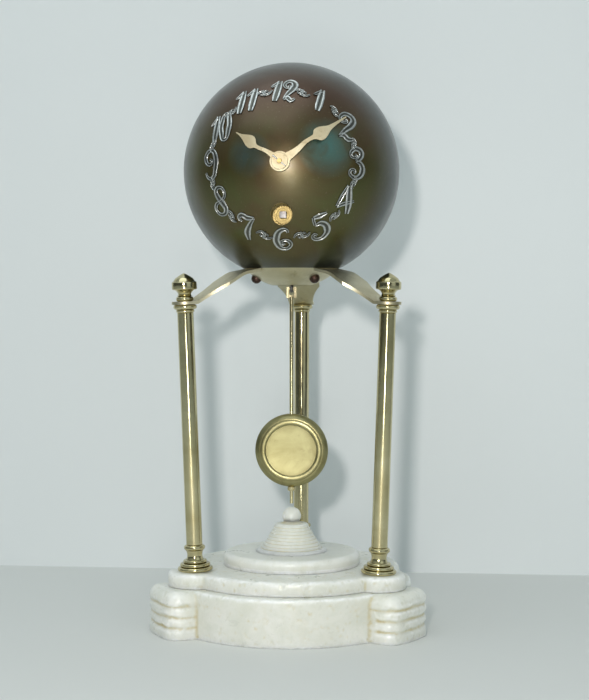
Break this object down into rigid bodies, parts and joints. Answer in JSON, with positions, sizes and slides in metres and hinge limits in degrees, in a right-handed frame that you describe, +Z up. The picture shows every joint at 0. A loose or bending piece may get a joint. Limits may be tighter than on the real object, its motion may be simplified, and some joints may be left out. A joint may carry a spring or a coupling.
{
  "type": "ball clock",
  "caption": "Ball-shaped pendulum clock on leaning brass columns over a lobed alabaster base, with a wound spring movement, turning hands and a swinging pendulum.",
  "frame": {"origin": "centre of the base's underside, on the clock's vertical axis", "axes": "+Z up, -Y the way the dial faces, +X to the right seen from the front"},
  "size_m": [0.154, 0.15, 0.3176],
  "materials": {
    "alabaster": "polished, slightly translucent",
    "polished_brass": "polished, lightly aged",
    "bronze_patina": "dark brown patina, satin",
    "silvered_metal": "silvered, satin",
    "gilt_brass": "gilt, satin",
    "movement_brass": "brushed",
    "steel": "turned",
    "dark_steel": "blackened"
  },
  "bodies": {
    "stand": {"back_plate": "movement_brass", "ball_front_shell": "bronze_patina", "ball_rear_shell": "bronze_patina", "base_block": "alabaster", "base_boss": "alabaster", "base_disc": "alabaster", "base_slab": "alabaster", "chapter_numerals": "silvered_metal", "click_screw": "steel", "click_spring": "steel", "cock_screws": "steel", "column_capital_left": "polished_brass", "column_capital_rear": "polished_brass", "column_capital_right": "polished_brass", "column_foot_left": "polished_brass", "column_foot_rear": "polished_brass", "column_foot_right": "polished_brass", "column_shaft_left": "polished_brass", "column_shaft_rear": "polished_brass", "column_shaft_right": "polished_brass", "cradle": "polished_brass", "cradle_screws": "dark_steel", "finial_left": "polished_brass", "finial_rear": "polished_brass", "finial_right": "polished_brass", "front_plate": "movement_brass", "minute_wheel_stud": "steel", "movement_posts": "movement_brass", "movement_screws": "steel", "neck_ring": "movement_brass", "pallet_cock": "movement_brass", "pillar_pins": "steel", "plate_pillars": "movement_brass", "tie_rod_nuts": "steel", "tie_rod_washers": "steel", "tie_rods": "steel", "winding_hole_rim": "bronze_patina"},
    "minute_hand": {"minute_hand": "gilt_brass", "cannon_pinion": "movement_brass"},
    "hour_hand": {"hour_hand": "gilt_brass", "hour_wheel": "movement_brass"},
    "minute_wheel": {"minute_wheel": "movement_brass"},
    "centre_wheel": {"centre_wheel": "movement_brass", "hand_washer": "polished_brass", "hand_pin": "steel"},
    "third_wheel": {"third_wheel": "movement_brass"},
    "escape_wheel": {"escape_wheel": "movement_brass"},
    "intermediate_wheel": {"intermediate_wheel": "movement_brass"},
    "barrel": {"barrel": "movement_brass", "barrel_cover": "movement_brass", "mainspring": "steel"},
    "winding_arbor": {"barrel_arbor": "steel", "ratchet_wheel": "movement_brass"},
    "click": {"click": "steel"},
    "pendulum": {"pallet_anchor": "steel", "pendulum_leader": "dark_steel", "pendulum_rod": "polished_brass", "pendulum_bob": "polished_brass", "rating_nut": "polished_brass"}
  },
  "joints": [
    {"name": "minute_hand_turn", "type": "hinge", "parent": "stand", "child": "minute_hand", "pos_m": [0, 0, 0.2566], "axis": [0, 1, 0], "continuous": true},
    {"name": "hour_hand_turn", "type": "hinge", "parent": "stand", "child": "hour_hand", "pos_m": [0, 0, 0.2566], "axis": [0, 1, 0], "continuous": true},
    {"name": "minute_wheel_turn", "type": "hinge", "parent": "stand", "child": "minute_wheel", "pos_m": [0.01, 0, 0.2566], "axis": [0, 1, 0], "continuous": true},
    {"name": "third_wheel_turn", "type": "hinge", "parent": "stand", "child": "third_wheel", "pos_m": [-0.01103, 0, 0.26499], "axis": [0, 1, 0], "continuous": true},
    {"name": "centre_wheel_turn", "type": "hinge", "parent": "stand", "child": "centre_wheel", "pos_m": [0, 0, 0.2566], "axis": [0, 1, 0], "continuous": true},
    {"name": "escape_wheel_turn", "type": "hinge", "parent": "stand", "child": "escape_wheel", "pos_m": [0, 0, 0.2707], "axis": [0, 1, 0], "continuous": true},
    {"name": "intermediate_wheel_turn", "type": "hinge", "parent": "stand", "child": "intermediate_wheel", "pos_m": [0.00978, 0, 0.24658], "axis": [0, 1, 0], "continuous": true},
    {"name": "barrel_turn", "type": "hinge", "parent": "stand", "child": "barrel", "pos_m": [0, 0, 0.2296], "axis": [0, 1, 0], "continuous": true},
    {"name": "winding_turn", "type": "hinge", "parent": "stand", "child": "winding_arbor", "pos_m": [0, 0, 0.2296], "axis": [0, 1, 0], "continuous": true},
    {"name": "click_lift", "type": "hinge", "parent": "stand", "child": "click", "pos_m": [0.0105, 0, 0.2326], "axis": [0, 1, 0], "range_deg": [0, 14], "stiffness_Nm_per_rad": 0.002, "springref_deg": -11.46},
    {"name": "pendulum_swing", "type": "hinge", "parent": "stand", "child": "pendulum", "pos_m": [0, 0, 0.2812], "axis": [0, 1, 0], "range_deg": [-4, 4]}
  ],
  "couplings": [
    {"joint": "hour_hand_turn", "follows": "minute_hand_turn", "ratio": 0.083333},
    {"joint": "minute_wheel_turn", "follows": "minute_hand_turn", "ratio": -0.33333},
    {"joint": "centre_wheel_turn", "follows": "third_wheel_turn", "ratio": -0.1},
    {"joint": "escape_wheel_turn", "follows": "third_wheel_turn", "ratio": -10.5},
    {"joint": "intermediate_wheel_turn", "follows": "third_wheel_turn", "ratio": 0.016667},
    {"joint": "barrel_turn", "follows": "third_wheel_turn", "ratio": -0.0027778}
  ]
}
